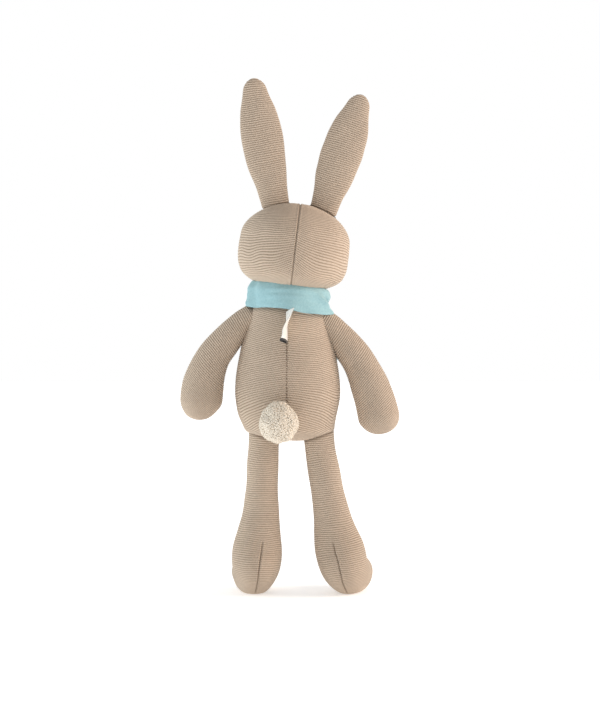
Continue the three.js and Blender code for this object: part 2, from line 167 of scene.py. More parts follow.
# ---------------------------------------------------------------- meshes
def piece(name, points, faces, uv, material):
    """A smooth-shaded object at the origin from points in mm. uv holds one pair per face corner."""
    mesh = bpy.data.meshes.new(name)
    mesh.from_pydata((np.asarray(points) * MM).tolist(), [], faces)
    layer = mesh.uv_layers.new(name="UVMap")
    layer.data.foreach_set("uv", np.asarray(uv, np.float32).ravel())
    mesh.polygons.foreach_set("use_smooth", [True] * len(mesh.polygons))
    mesh.validate()
    obj = bpy.data.objects.new(name, mesh)
    bpy.context.scene.collection.objects.link(obj)
    obj.data.materials.append(material)
    return obj


def surface(name, grid, uv, material, around=True, ends=True, crease=None):
    """A grid of points as quads. A grid that goes around joins its last column to its first; one with
    ends has each end row closed by a fan onto its middle. uv has one column more where it goes around.
    crease, from 0 to 1 at each point, is how deep the point lies in a seam or fold, or under or between
    parts; the knit darkens there with seam colour and painted shade."""
    rows, sides = grid.shape[:2]
    index = np.arange(rows * sides).reshape(rows, sides)
    if around:
        index = np.concatenate([index, index[:, :1]], 1)
    mark = np.arange(uv[..., 0].size).reshape(uv.shape[:2])

    def cells(table):
        return np.stack([table[:-1, :-1], table[1:, :-1], table[1:, 1:], table[:-1, 1:]], -1)

    faces, corners = cells(index).reshape(-1, 4), cells(mark).reshape(-1, 4)
    points, uvs = grid.reshape(-1, 3), uv.reshape(-1, 2)
    volume = np.einsum("ij,ij->", points[faces[:, 0]], np.cross(points[faces[:, 1]], points[faces[:, 2]]))
    flipped = around and volume < 0
    if flipped:
        faces, corners = faces[:, ::-1], corners[:, ::-1]
    face_list, corner_list = faces.tolist(), corners.ravel().tolist()
    if ends:
        poles = grid[[0, -1]].mean(1)
        points = np.concatenate([points, poles])
        pole_uv = uv[[0, -1]].mean(1)
        uvs = np.concatenate([uvs, pole_uv])
        for row, pole in ((0, 0), (rows - 1, 1)):
            a, b = index[row, :-1], index[row, 1:]
            ma, mb = mark[row, :-1], mark[row, 1:]
            top = np.full(len(a), rows * sides + pole)
            mtop = np.full(len(a), uv[..., 0].size + pole)
            fan, marks = (top, a, b), (mtop, ma, mb)
            if (row == 0) == flipped:
                fan, marks = fan[::-1], marks[::-1]
            face_list += np.stack(fan, 1).tolist()
            corner_list += np.stack(marks, 1).ravel().tolist()
    obj = piece(name, points, face_list, uvs[corner_list], material)
    if crease is not None:
        values = np.concatenate([crease.ravel(), crease[[0, -1]].mean(1)])[: len(points)]
        layer = obj.data.attributes.new("crease", "FLOAT", "POINT")
        layer.data.foreach_set("value", values.astype(np.float32))
    return obj


def plain_uv(grid, around=True):
    """UV in mm: lengths around and down a grid."""
    down = lengths(grid, 0)
    if around:
        down = np.concatenate([down, down[:, :1]], 1)
    across = lengths(grid, 1, around)
    return np.stack([across, down], -1)


def strands(name, paths, radii, material, sides=6):
    """Many closed round tubes at once: circles square to each path. paths holds strands by points by 3,
    and radii is one number or strands by points."""
    count, steps = paths.shape[:2]
    radii = np.broadcast_to(radii, (count, steps))
    tangent = unit(np.gradient(paths, axis=1))
    upright = np.abs(tangent.mean(1)[:, 2]) > 0.8
    ref = np.where(upright[:, None], [1.0, 0, 0], [0, 0, 1.0])[:, None]
    aside = unit(np.cross(tangent, ref))
    other = np.cross(tangent, aside)
    angle = (np.arange(sides) * TAU / sides)[:, None]
    ring = np.cos(angle) * aside[:, :, None] + np.sin(angle) * other[:, :, None]
    points = paths[:, :, None] + ring * radii[:, :, None, None]
    index = np.arange(count * steps * sides).reshape(count, steps, sides)
    beside = np.roll(index, -1, 2)
    walls = np.stack([index[:, :-1], beside[:, :-1], beside[:, 1:], index[:, 1:]], -1).reshape(-1, 4)
    along = lengths(paths, 1)
    u = np.broadcast_to(np.arange(sides) / sides, points.shape[:3]) * 2
    v = np.broadcast_to(along[:, :, None], points.shape[:3])
    uv = np.stack([u, v], -1).reshape(-1, 2)
    faces = walls.tolist() + index[:, 0, ::-1].tolist() + index[:, -1].tolist()
    marks = np.concatenate([walls.ravel(), index[:, 0, ::-1].ravel(), index[:, -1].ravel()])
    return piece(name, points.reshape(-1, 3), faces, uv[marks], material)


def globe(rings, sides, gap):
    """Unit directions in rings round the Z axis, from the gap's angle below the top pole downward."""
    level = np.linspace(gap, math.pi - gap, rings)[:, None]
    turn = np.linspace(0, TAU, sides, endpoint=False)[None]
    flat = np.sin(level)
    return np.stack([flat * np.cos(turn), flat * np.sin(turn), np.cos(level) + 0 * turn], -1)


def thicken(obj, thickness):
    """Gives a sheet its thickness in mm, half of it to each side."""
    wall = obj.modifiers.new("thickness", "SOLIDIFY")
    wall.thickness = thickness * MM
    wall.offset = 0


def belongs(obj, slot, *nodes, body=None, fill=None):
    """Attaches an object to the body that carries it and hides the CAD nodes it stands for.
    The slot and fill, how full a padded piece is, are not used."""
    if body:
        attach(obj, body)
    if nodes:
        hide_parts(*nodes)


def bends(obj):
    """Moves an object's placement into its mesh, so that it stands at the origin."""
    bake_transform(obj)


# ---------------------------------------------------------------- stuffed forms
def rows_length(rows):
    """Length of the straight lines through the rows."""
    return np.linalg.norm(np.diff(np.array(rows)[:, :3], axis=0), axis=1).sum()


def stuffed(rows, caps, at, angle, wide_ref=None):
    """Points of a stuffed tube: an ellipse swept along a smooth spine, drawn in to a point at each end
    over a quarter of a circle. A row is x, y, z, half width and half depth. The width lies across the
    spine and the Y axis, or along wide_ref where it is given."""
    spine = through(rows, at)
    tangent = unit(through(rows, at + 0.05)[..., :3] - through(rows, at - 0.05)[..., :3])
    if wide_ref is None:
        wide = unit(np.cross(tangent, np.broadcast_to(BACK, tangent.shape)))
    else:
        ref = np.broadcast_to(np.array(wide_ref, float), tangent.shape)
        wide = unit(ref - tangent * (ref * tangent).sum(-1, keepdims=True))
    deep = np.cross(wide, tangent)
    full = np.ones_like(at)
    for gone, cap in ((at, caps[0]), (rows_length(rows) - at, caps[1])):
        full = full * np.sqrt(1 - np.clip(1 - gone / cap, 0, 1) ** 2)
    return (
        spine[..., :3]
        + wide * (np.cos(angle) * spine[..., 3] * full)[..., None]
        + deep * (np.sin(angle) * spine[..., 4] * full)[..., None]
    )


def even_rings(shape, length, spacing):
    """Distances along a form whose rings are at most the spacing apart on their widest way down."""
    dense = length * (1 - np.cos(np.linspace(0.02, math.pi - 0.02, 1500))) / 2
    angle = np.linspace(0, TAU, 24, endpoint=False)
    grid = shape(*np.broadcast_arrays(dense[:, None], angle[None]))
    step = np.linalg.norm(np.diff(grid, axis=0), axis=-1).max(1)
    way = np.concatenate([[0], np.cumsum(step)])
    return np.interp(np.arange(0, way[-1], spacing), way, dense)


def close_sides(sides, seams):
    """Angles all round, up to five times closer together beside the seams' angles."""
    dense = np.linspace(0, TAU, 4001)
    gap = [np.abs((dense - seam + math.pi) % TAU - math.pi) for seam in seams]
    weight = 1 + 4 * sum((bell(g, 0.07) for g in gap), np.zeros_like(dense))
    share = np.concatenate([[0], np.cumsum((weight[1:] + weight[:-1]) / 2)])
    return np.interp(np.arange(sides) / sides, share / share[-1], dense)


def knitted(name, shape, length, sides, relief, slope=None, spacing=0.4, seed=1, seams=(), level=False):
    """A closed knitted skin. shape gives the smooth form from distance and angle. Rows of loops follow
    the true distance down each meridian, less the slope that tips them, and stand out as rounded ribs.
    Level rows follow the distance along the middle line instead, so they run straight across.
    relief gives how far each point moves along its normal, in mm, and how deep in a seam or in shade it
    lies, where the knit gets seam colour and painted shade."""
    ring = even_rings(shape, length, spacing)
    angle = close_sides(sides, seams)
    at, turn = np.broadcast_arrays(ring[:, None], angle[None])
    grid = shape(at, turn)
    normal = outward(grid)
    lift, crease = relief(grid, at, turn)
    grid = grid + normal * (lift + 0.22 * ripple(grid, 40, seed))[..., None]
    down = at if level else lengths(grid, 0)
    phase = down + 0.25 * COURSE * ripple(grid, 30, seed + 50)
    if slope is not None:
        phase = phase - slope(grid, at, turn)
    girth = lengths(grid, 1, True)
    stitches = round(girth[:, -1].max() / WALE)
    share = girth / np.maximum(girth[:, -1:], 0.01)
    rib = 0.5 + 0.5 * np.cos(TAU * phase / COURSE)
    near_pole = np.minimum(np.arange(len(ring)), np.arange(len(ring))[::-1])[:, None] / 10
    grid = grid + normal * (RIB * (rib - 0.5) * np.clip(near_pole, 0, 1))[..., None]
    across = share * stitches * WALE
    phase = np.concatenate([phase, phase[:, :1]], 1)
    crease = np.broadcast_to(np.clip(crease, 0, 1), at.shape)
    return surface(name, grid, np.stack([across, phase], -1), KNIT, crease=crease)


# ---------------------------------------------------------------- materials
def srgb(code):
    """A six-digit sRGB colour as linear red, green, blue and full alpha."""
    parts = [int(code[i : i + 2], 16) / 255 for i in (1, 3, 5)]
    return [c / 12.92 if c <= 0.04045 else ((c + 0.055) / 1.055) ** 2.4 for c in parts] + [1.0]


def node(tree, kind, *values, out=0, named=None, **settings):
    """Adds a node with its settings and gives one of its outputs. A value is a number, a colour or
    another node's output. Plain values go to the sockets in order, named ones by name or number."""
    made = tree.nodes.new("ShaderNode" + kind)
    for key, value in settings.items():
        setattr(made, key, value)
    for key, value in {**dict(enumerate(values)), **(named or {})}.items():
        if isinstance(value, bpy.types.NodeSocket):
            tree.links.new(value, made.inputs[key])
        else:
            made.inputs[key].default_value = value
    return made.outputs[out]


def connect(shader, **outputs):
    """Links outputs to a shader's sockets, which are named with underscores for spaces."""
    for key, value in outputs.items():
        shader.id_data.links.new(value, shader.inputs[key.replace("_", " ")])


def material_of(name, **sockets):
    """A new material, what adds a node to it, and its shader, whose plain sockets are set directly."""
    made = bpy.data.materials.new(name)
    made.use_nodes = True
    shader = made.node_tree.nodes["Principled BSDF"]
    for key, value in sockets.items():
        shader.inputs[key.replace("_", " ")].default_value = value
    return made, partial(node, made.node_tree), shader


def grain(size, detail=2.0):
    """The sockets of a noise whose grains are about that many mm across."""
    return {"Scale": 1 / (size * MM), "Detail": detail}


def cotton_jersey_knit(name, light, dark, shade):
    """Fine cotton jersey, purl side out, machine knitted: rows of small half-moon loops with painted shade
    in the grooves between the rows, a soft halo of fibre that catches grazing light, no gloss. A row is one
    course tall and a loop one wale wide, and each row starts half a loop further along."""
    made, add, shader = material_of(
        name, Roughness=0.93, Sheen_Weight=0.35, Sheen_Roughness=0.45, Sheen_Tint=srgb("#f6ead9"),
        Specular_IOR_Level=0.25,
    )
    place = add("TexCoord", out="Object")
    across = add("SeparateXYZ", add("TexCoord", out="UV"))
    course = add("Math", across.node.outputs[1], COURSE, operation="DIVIDE")
    wale = add("Math", across, WALE, operation="DIVIDE")
    row = add("Math", add("Math", course, 0.5, operation="ADD"), operation="FLOOR")
    along = add("Math", row, 0.5, wale, operation="MULTIPLY_ADD")
    wave = add("Math", add("Math", along, TAU, operation="MULTIPLY"), operation="COSINE")
    loop = add("Math", wave, 0.5, 0.5, operation="MULTIPLY_ADD")
    # each row is an arch, pushed up and down in turn along the row like interlocked half moons
    bowed = add("Math", wave, 0.06, course, operation="MULTIPLY_ADD")
    arch = add("Math", add("Math", bowed, math.pi, operation="MULTIPLY"), operation="COSINE")
    ridge = add("Math", add("Math", arch, operation="ABSOLUTE"), 0.8, operation="POWER")
    level = add("Math", loop, 0.08, 0.92, operation="MULTIPLY_ADD")
    height = add("Math", ridge, level, operation="MULTIPLY")
    # the low parts of each row take the dark colour: painted shade in the grooves between the rows
    colour = add(
        "Mix", out=2, named={0: add("MapRange", height, 0.1, 0.8), 6: dark, 7: light}, data_type="RGBA"
    )
    heather = add("MapRange", add("TexNoise", place, named=grain(2.38)), 0.3, 0.7, 0.96, 1.04)
    patch = add("MapRange", add("TexNoise", place, named=grain(35.7)), 0.3, 0.7, 0.96, 1.04)
    tone = add("Math", heather, patch, operation="MULTIPLY")
    grey = add("CombineColor", tone, tone, tone)
    colour = add("Mix", 1.0, out=2, named={6: colour, 7: grey}, data_type="RGBA", blend_type="MULTIPLY")
    # seams, folds and places under or between parts are mixed toward the shade colour: seam colour and
    # painted shade
    deep = add("Math", add("Attribute", out="Fac", attribute_name="crease"), 0.75, operation="MULTIPLY")
    colour = add("Mix", deep, out=2, named={6: colour, 7: shade}, data_type="RGBA")
    fuzz = add("TexNoise", place, named=grain(0.385, 3.0))
    rough = add("Math", fuzz, 0.2, height, operation="MULTIPLY_ADD")
    bump = add("Bump", named={"Strength": 0.55, "Distance": 0.35 * MM, "Height": rough})
    connect(shader, Base_Color=colour, Normal=bump)
    return made


def plain_weave_cotton(name, light, dark):
    """Brushed plain-weave cotton. The real threads lie about 0.3 mm apart; they are drawn wider so that
    the weave still shows. Soft, matt, with a faint bloom on folds."""
    made, add, shader = material_of(
        name, Roughness=0.9, Sheen_Weight=0.25, Sheen_Roughness=0.5, Sheen_Tint=srgb("#eef8fa"),
        Specular_IOR_Level=0.25,
    )
    place = add("TexCoord", out="Object")
    across = add("SeparateXYZ", add("TexCoord", out="UV"))
    drift = add("MapRange", add("TexNoise", place, named=grain(6.67)), 0.3, 0.7, -0.4, 0.4)
    warp, weft = (
        add("Math", add("Math", way, math.pi / THREAD, drift, operation="MULTIPLY_ADD"), operation="SINE")
        for way in (across, across.node.outputs[1])
    )
    cross = add("Math", warp, weft, operation="MULTIPLY")
    over = add("Math", cross, 0.5, 0.5, operation="MULTIPLY_ADD")
    slub = add("TexNoise", place, named=grain(1.43, 3.0))
    share = add("Math", over, 0.35, add("MapRange", slub, 0.3, 0.7, 0.25, 0.6), operation="MULTIPLY_ADD")
    colour = add("Mix", share, out=2, named={6: dark, 7: light}, data_type="RGBA")
    worn = add("MapRange", add("TexNoise", place, named=grain(16.7, 3.0)), 0.3, 0.7, 0.95, 1.05)
    grey = add("CombineColor", worn, worn, worn)
    colour = add("Mix", 1.0, out=2, named={6: colour, 7: grey}, data_type="RGBA", blend_type="MULTIPLY")
    lumps = add("Math", slub, 0.6, over, operation="MULTIPLY_ADD")
    bump = add("Bump", named={"Strength": 0.4, "Distance": 0.2 * MM, "Height": lumps})
    connect(shader, Base_Color=colour, Normal=bump)
    return made


def twisted_yarn(name, light, dark, ply=1.0, sheen=0.3, roughness=0.9):
    """Plied yarn or thread: its UV runs round it and along it in mm, so the plies wind round it as
    slanting light and dark bands, one turn in each ply length. Soft fibre catches grazing light."""
    made, add, shader = material_of(
        name, Roughness=roughness, Sheen_Weight=sheen, Sheen_Roughness=0.4, Sheen_Tint=srgb("#fff6ea"),
        Specular_IOR_Level=0.3,
    )
    round_it = add("SeparateXYZ", add("TexCoord", out="UV"))
    along = add("Math", round_it.node.outputs[1], TAU / ply, operation="MULTIPLY")
    wind = add("Math", add("Math", round_it, TAU, along, operation="MULTIPLY_ADD"), operation="SINE")
    fibre = add("TexNoise", add("TexCoord", out="Object"), named=grain(0.556, 3.0))
    share = add("Math", wind, 0.25, add("MapRange", fibre, 0.3, 0.7, 0.25, 0.85), operation="MULTIPLY_ADD")
    colour = add("Mix", share, out=2, named={6: dark, 7: light}, data_type="RGBA")
    height = add("Math", fibre, 0.8, wind, operation="MULTIPLY_ADD")
    bump = add("Bump", named={"Strength": 0.4, "Distance": 0.2 * MM, "Height": height})
    connect(shader, Base_Color=colour, Normal=bump)
    return made


def woven_satin_ribbon(name, light, dark, bar):
    """Polyester satin ribbon, slit-edged: long fine floats that run down the ribbon give a soft streaked
    gloss. The floats are drawn coarser than the real ones. Its foot is coloured as a plain dark bar."""
    made, add, shader = material_of(name, Roughness=0.42, Sheen_Weight=0.1)
    uv = add("TexCoord", out="UV")
    across = add("SeparateXYZ", uv)
    floats = add("Math", add("Math", across, TAU / FLOAT, operation="MULTIPLY"), operation="SINE")
    streak = add("TexNoise", uv, named={"Scale": 1.6, "Detail": 3.0})
    share = add("Math", floats, 0.15, add("MapRange", streak, 0.3, 0.7, 0.35, 0.9), operation="MULTIPLY_ADD")
    colour = add("Mix", share, out=2, named={6: dark, 7: light}, data_type="RGBA")
    low = add("Math", across.node.outputs[1], BAR_TALL, operation="LESS_THAN")
    colour = add("Mix", low, out=2, named={6: colour, 7: bar}, data_type="RGBA")
    bump = add("Bump", named={"Strength": 0.25, "Distance": 0.08 * MM, "Height": floats})
    connect(shader, Base_Color=colour, Normal=bump)
    return made


def moulded_plastic(name, light, dark, roughness, coat=0.0):
    """Injection-moulded plastic: even colour with a trace of flow marks and fine handling scuffs."""
    made, add, shader = material_of(name, IOR=1.53, Coat_Weight=coat, Coat_Roughness=0.05)
    place = add("TexCoord", out="Object")
    flow = add("MapRange", add("TexNoise", place, named=grain(3.33, 4.0)), 0.3, 0.7)
    scuff = add("TexNoise", place, named=grain(0.455))
    spread = add("MapRange", scuff, 0.35, 0.75, roughness * 0.8, roughness * 1.4)
    colour = add("Mix", flow, out=2, named={6: dark, 7: light}, data_type="RGBA")
    connect(shader, Base_Color=colour, Roughness=spread)
    return made


KNIT = cotton_jersey_knit("cotton_jersey_knit_taupe", srgb("#c7b6a4"), srgb("#87735e"), srgb("#5a493b"))
SCARF_CLOTH = plain_weave_cotton("plain_weave_cotton_blue", srgb("#a6cbd0"), srgb("#7eaab3"))
CREAM_YARN = twisted_yarn("cut_wool_yarn_cream", srgb("#f4ecdf"), srgb("#dcd0bc"), ply=2.2, sheen=0.45)
SEAM_THREAD = twisted_yarn("polyester_sewing_thread_taupe", srgb("#8a7560"), srgb("#5d4b3b"), ply=0.8)
FLOSS = twisted_yarn("stranded_embroidery_floss", srgb("#7d6051"), srgb("#553f35"), roughness=0.6)
TIE = twisted_yarn("waxed_binding_thread", srgb("#e2d8c6"), srgb("#b8aa92"))
SATIN = woven_satin_ribbon("woven_satin_ribbon_white", srgb("#f5f4f0"), srgb("#e2e0d9"), srgb("#2b2d30"))
EYE_BLACK = moulded_plastic("moulded_abs_brown_black", srgb("#241a16"), srgb("#15100d"), 0.12, coat=0.4)
WASHER_WHITE = moulded_plastic("moulded_nylon_white", srgb("#efefec"), srgb("#dcdcd6"), 0.45)

# ---------------------------------------------------------------- camera
FRAME_TALL = 551.5  # what the view takes in from top to bottom, at the toy
DISTANCE = 1400.0
LOOK_UP = math.radians(1.5)  # height of the camera over the toy's middle, as an angle
AIM = np.array([-8.2, BODY_Y, 186.4])

camera = bpy.data.objects.new("camera", bpy.data.cameras.new("camera"))
bpy.context.scene.collection.objects.link(camera)
camera.data.sensor_width = 36
camera.data.lens = 36 * DISTANCE / FRAME_TALL
back = Vector((0, math.cos(LOOK_UP), math.sin(LOOK_UP)))
camera.location = Vector(AIM * MM) + back * DISTANCE * MM
camera.rotation_mode = "QUATERNION"
camera.rotation_quaternion = (-back).to_track_quat("-Z", "Y")
camera.data.clip_start = 0.05
camera.data.clip_end = 50
bpy.context.scene.camera = camera


# ---------------------------------------------------------------- torso
TORSO_STATIONS = [  # height, half width and half depth
    [119.8, 32.5, 24], [130, 35, 27], [142, 38.8, 28.8], [154, 40.9, 29.5], [172, 40, 29],
    [190, 36.8, 27], [208, 32, 24], [219, 29.4, 22], [231, 28, 20.5],
]
TORSO_ROWS = [[1.5, BODY_Y, *station] for station in TORSO_STATIONS]
SEAT_LEAN = 2.3  # how far the seat settles to the toy's right
TORSO_CAPS = (10, 12)


def torso_shape(at, angle):
    """The torso's own tube. Angle 0 is the toy's right and a quarter turn is its back."""
    points = stuffed(TORSO_ROWS, TORSO_CAPS, at, angle, wide_ref=(-1, 0, 0))
    points[..., 0] -= SEAT_LEAN * (1 - smooth(120, 142, points[..., 2]))
    return points


def torso_relief(grid, at, angle):
    """Seams pull the skin in: down the middle of the back and down both sides."""
    x, y, z = np.moveaxis(grid, -1, 0)
    behind = y > BODY_Y
    line = np.where(behind, bell(x - BACK_SEAM_X, 0.5), 0)
    wide = np.where(behind, bell(x - BACK_SEAM_X, 4.0), 0)
    sides = bell(y - BODY_Y, 0.7)
    lift = -0.2 * line * (1 + 0.5 * np.sin(TAU * z / 2.4)) - 0.2 * wide - 0.4 * sides
    # the seams get seam colour and painted shade through crease
    return lift, 0.1 * line + 0.3 * sides


def torso_slope(grid, at, angle):
    """Rows are level, and hang down beside the back seam near the seat."""
    x, y, z = np.moveaxis(grid, -1, 0)
    return -0.22 * np.abs(x - BACK_SEAM_X) * (1 - smooth(125, 165, z)) * smooth(BODY_Y, BODY_Y + 12, y)


torso = knitted(
    "torso_body", torso_shape, rows_length(TORSO_ROWS), 250, torso_relief, torso_slope,
    seed=3, seams=(0, math.pi / 2, math.pi, TAU),
)
belongs(
    torso, "taupe_knit", "torso_back_left_panel", "torso_back_right_panel", "torso_front_panel",
    "torso_stuffing", body="torso", fill=0.85,
)

# ---------------------------------------------------------------- head
HEAD_STATIONS = [  # height over the neck, half width and half depth
    [5, 36, 34], [14, 38, 37], [24, 42, 40], [36, 43.2, 41], [46, 42.4, 40], [58, 41.2, 38.5], [73, 40, 37],
]
HEAD_MIDDLE = NECK + [1.1, 0, 0]
HEAD_ROWS = [[*(HEAD_MIDDLE + HEAD_AXIS * height), width, depth] for height, width, depth in HEAD_STATIONS]
HEAD_CAPS = (13.5, 27)
ACROSS_HEAD = unit(np.cross(BACK, HEAD_AXIS))


def head_shape(at, angle):
    """The head's own tube from chin to crown. A quarter turn is its back."""
    return stuffed(HEAD_ROWS, HEAD_CAPS, at, angle, wide_ref=(-1, 0, 0))


EYE = {"side": 0.44, "height": 40, "dome": 4.4, "rise": 2.8}
NOSE_TOP, NOSE_TIP, NOSE_HALF = 34.0, 27.6, 5.0


def face_point(aside, up, lift):
    """The point of the head's front that far aside and that far up from the neck, lifted off it."""
    row = through(HEAD_ROWS, up - HEAD_STATIONS[0][0])
    gap = np.clip(1 - (up - HEAD_STATIONS[0][0]) / HEAD_CAPS[0], 0, 1)
    full = np.sqrt(1 - gap**2)
    depth = row[..., 4] * full * np.sqrt(np.clip(1 - (aside / (row[..., 3] * full)) ** 2, 0, 1))
    out = BACK * (depth + lift)[..., None]
    return NECK + HEAD_AXIS * up[..., None] + ACROSS_HEAD * aside[..., None] - out


def eye_seat(side):
    """Where an eye sits on the head, and the way out of the head there; side is 1 for the left."""
    at = np.array([EYE["height"], EYE["height"] + 0.1, EYE["height"]], float)
    angle = -math.pi / 2 - side * np.array([EYE["side"], EYE["side"], EYE["side"] + 0.002])
    here, above, beside = head_shape(at, angle)
    out = unit(np.cross(above - here, beside - here))
    return here, out if out[1] < 0 else -out


def head_relief(grid, at, angle):
    """The centre seam draws the skin in all round the head, and the eyes and nose dent the face."""
    aside = (grid - NECK) @ ACROSS_HEAD
    line, lips = bell(aside, 0.45), bell(np.abs(aside) - 1.3, 0.6)
    lift = -0.7 * line + 0.25 * lips - 0.3 * bell(aside, 4.5)
    for side in (1, -1):
        lift = lift - 1.3 * bell(np.linalg.norm(grid - eye_seat(side)[0], axis=-1), 8)
    nose = face_point(np.zeros(1), np.array([31.0]), 0)[0]
    up = (grid - NECK) @ HEAD_AXIS
    # the seam line gets seam colour and painted shade through crease, most low on the head
    depth = mix(0.65, 0.28, smooth(30, 75, up))
    return lift - 0.8 * bell(np.linalg.norm(grid - nose, axis=-1), 9), depth * line


def head_slope(grid, at, angle):
    """Rows fall away on both sides of the back seam, most of all low down."""
    aside = np.abs((grid - NECK) @ ACROSS_HEAD)
    up = (grid - NECK) @ HEAD_AXIS
    fall = 0.16 + 0.4 * (1 - smooth(8, 50, up))
    return -fall * 20 * np.tanh(aside / 20) * smooth(0, 3, aside) * (1 - smooth(52, 72, up))


head = knitted(
    "head_skin", head_shape, rows_length(HEAD_ROWS), 300, head_relief, head_slope,
    seed=5, seams=(math.pi / 2, 3 * math.pi / 2),
)
belongs(head, "taupe_knit", "head_left_panel", "head_right_panel", "head_stuffing", body="head", fill=0.9)


# ---------------------------------------------------------------- arms
ARM_GIRTHS = {
    "left": [
        [9.8, 10], [10.8, 11], [12.1, 12], [13.4, 13], [14.9, 14], [16.2, 14.6], [16.4, 14.8],
        [15.9, 14.5], [15.2, 14.5],
    ],
    "right": [
        [9.8, 10], [10.8, 11], [12.0, 12], [12.9, 13], [13.9, 14], [15.2, 14.6], [16.0, 14.8],
        [16.2, 14.5], [16.2, 14.5],
    ],
}
ARM_LINES = {
    "left": [
        [36.2, 211.6], [42.3, 205.4], [51, 195.5], [59, 185], [64.2, 173.5], [67.4, 162], [68.7, 151.5],
        [68.6, 143.5], [67.6, 136],
    ],
    "right": [
        [-31.5, 209], [-36.6, 203], [-44.3, 194.4], [-51.8, 184.4], [-58.3, 172.5], [-63.4, 160],
        [-67.4, 147], [-70.2, 136], [-71.8, 124.8],
    ],
}


def make_arm(side, outward_x, seed):
    """One knitted tube from inside the shoulder to the closed hand."""
    line = ARM_LINES[side]
    rows = [[x, BODY_Y, z, *girth] for (x, z), girth in zip(line, ARM_GIRTHS[side])]
    rows.insert(0, [line[0][0] - outward_x * 12, BODY_Y, line[0][1] + 7.5, 9.5, 9.5])

    shape = partial(stuffed, rows, (6, 15.5))

    def relief(grid, at, angle):
        """A seam runs down the inside of the arm."""
        line = bell(np.arccos(np.clip(np.cos(angle) * outward_x, -1, 1)) * 14, 0.9)
        # the seam gets seam colour and painted shade through crease
        return -0.6 * line, 0.6 * line

    arm = knitted(
        f"{side}_arm", shape, rows_length(rows), 150, relief, seed=seed, seams=(0, math.pi, TAU)
    )
    belongs(arm, "taupe_knit", f"{side}_arm_skin", f"{side}_arm_stuffing", fill=0.85)
    bends(arm)


make_arm("left", 1, 11)
make_arm("right", -1, 12)

# ---------------------------------------------------------------- legs
BEND = 17.5  # radius of the ankle's bend
FOOT_MIDDLE = 13.5  # height of the foot's middle line
LEG_LINES = {
    "left": [[19.2, 139], [20.2, 111], [21.1, 96], [21.6, 78], [22.4, 61], [23.4, 49], [24.9, 36]],
    "right": [[-21.4, 139], [-24.2, 111.2], [-26.9, 96], [-29.8, 78], [-33.2, 61], [-35.6, 49], [-38.8, 36]],
}
LEG_GIRTHS = [[12, 12], [12, 12], [12.4, 12.2], [12.8, 12.4], [14.6, 13.6], [16.8, 15.5], [19, 17]]
BEND_LINES = {"left": [26.2, 27.6, 28.6], "right": [-42.6, -46.6, -49.2]}
BEND_TURNS = [(30, 18.8, 17), (60, 16.8, 16.6), (90, 15.6, 15.6)]  # degrees, half width, half depth
TOES = {"left": ([29.8, 13.4], [31, 14.5]), "right": ([-50, 14.6], [-51, 17])}
HEEL_SEAM = 0.2  # how far the heel's seam starts to the inner side of the leg's back, as an angle


def under_torso(points):
    """How far points are under the torso's rounded bottom; far below or beside it, a large number."""
    x, width, depth = TORSO_ROWS[0][0] - SEAT_LEAN, TORSO_ROWS[0][3] + 1.2, TORSO_ROWS[0][4] + 1.5
    share = np.sqrt(((points[..., 0] - x) / width) ** 2 + ((points[..., 1] - BODY_Y) / depth) ** 2)
    bottom = TORSO_ROWS[0][2] + TORSO_CAPS[0] * (1 - np.sqrt(1 - np.clip(share, 0, 1) ** 2))
    return bottom - points[..., 2]


def make_leg(side, seed):
    """A knitted tube that turns forward at the ankle and ends in a round toe, flat underneath."""
    rows = [[x, BODY_Y, z, *girth] for (x, z), girth in zip(LEG_LINES[side], LEG_GIRTHS)]
    inner = 1 if side == "left" else -1
    centre = (BODY_Y - BEND, FOOT_MIDDLE + BEND)
    for x, (degrees, width, depth) in zip(BEND_LINES[side], BEND_TURNS):
        turn = math.radians(degrees)
        y, z = centre[0] + BEND * math.cos(turn), centre[1] - BEND * math.sin(turn)
        rows.append([x, y, z, width, depth])
    for (x, z), y, width, depth in zip(TOES[side], (-34, -49), (15.8, 14.6), (14.2, 13.2)):
        rows.append([x, y, z, width, depth])
    to_ankle, arc = rows_length(rows[:7]), rows_length(rows[6:10])

    def shape(at, angle):
        """The tube, with the heel pushed out behind the bend and nothing left below the ground."""
        points = stuffed(rows, (8, 14), at, angle, wide_ref=(1, 0, 0))
        fade = smooth(to_ankle + 0.55 * arc, to_ankle + arc + 10, at)
        heel = smooth(to_ankle - 12, to_ankle + 0.5 * arc, at) * (1 - fade)
        bent = np.clip((at - to_ankle) / arc, 0, 1) * math.pi / 2
        out = np.stack([0 * at, np.cos(bent), -0.2 * np.sin(bent)], -1)
        points = points + out * (7.5 * heel * np.clip(np.sin(angle), 0, 1) ** 1.5)[..., None]
        z = points[..., 2]
        points[..., 2] = 0.5 * (z + np.sqrt(z * z + 0.8)) - 0.1
        return points

    def relief(grid, at, angle):
        """The heel seam draws the skin in, and the sole stays flat. The heel seam gets seam colour and
        painted shade, and just under the torso's edge the knit gets painted shadow.
        """
        z = grid[..., 2]
        along = smooth(to_ankle - 10, to_ankle + arc, at)
        behind = np.abs(angle - math.pi / 2 - inner * HEEL_SEAM * (1 - 0.8 * along)) * 16
        shown = smooth(to_ankle - 9, to_ankle - 5, at) * smooth(0.6, 2.5, z)
        line, lips = bell(behind, 0.42) * shown, bell(behind - 1.2, 0.5) * shown
        # painted shadow on the leg just under the torso's rounded bottom
        root_line = bell(under_torso(grid) - 0.4, 1.3)
        lift = -0.7 * line + 0.25 * lips - 0.4 * bell(behind, 5) * shown
        return lift, 0.75 * line + 0.85 * root_line

    leg = knitted(
        f"{side}_leg", shape, rows_length(rows), 150, relief, spacing=0.42, seed=seed,
        seams=(math.pi / 2 + inner * 0.12,),
    )
    belongs(leg, "taupe_knit", f"{side}_leg_skin", f"{side}_leg_stuffing", fill=0.85)
    bends(leg)


make_leg("left", 21)
make_leg("right", 22)

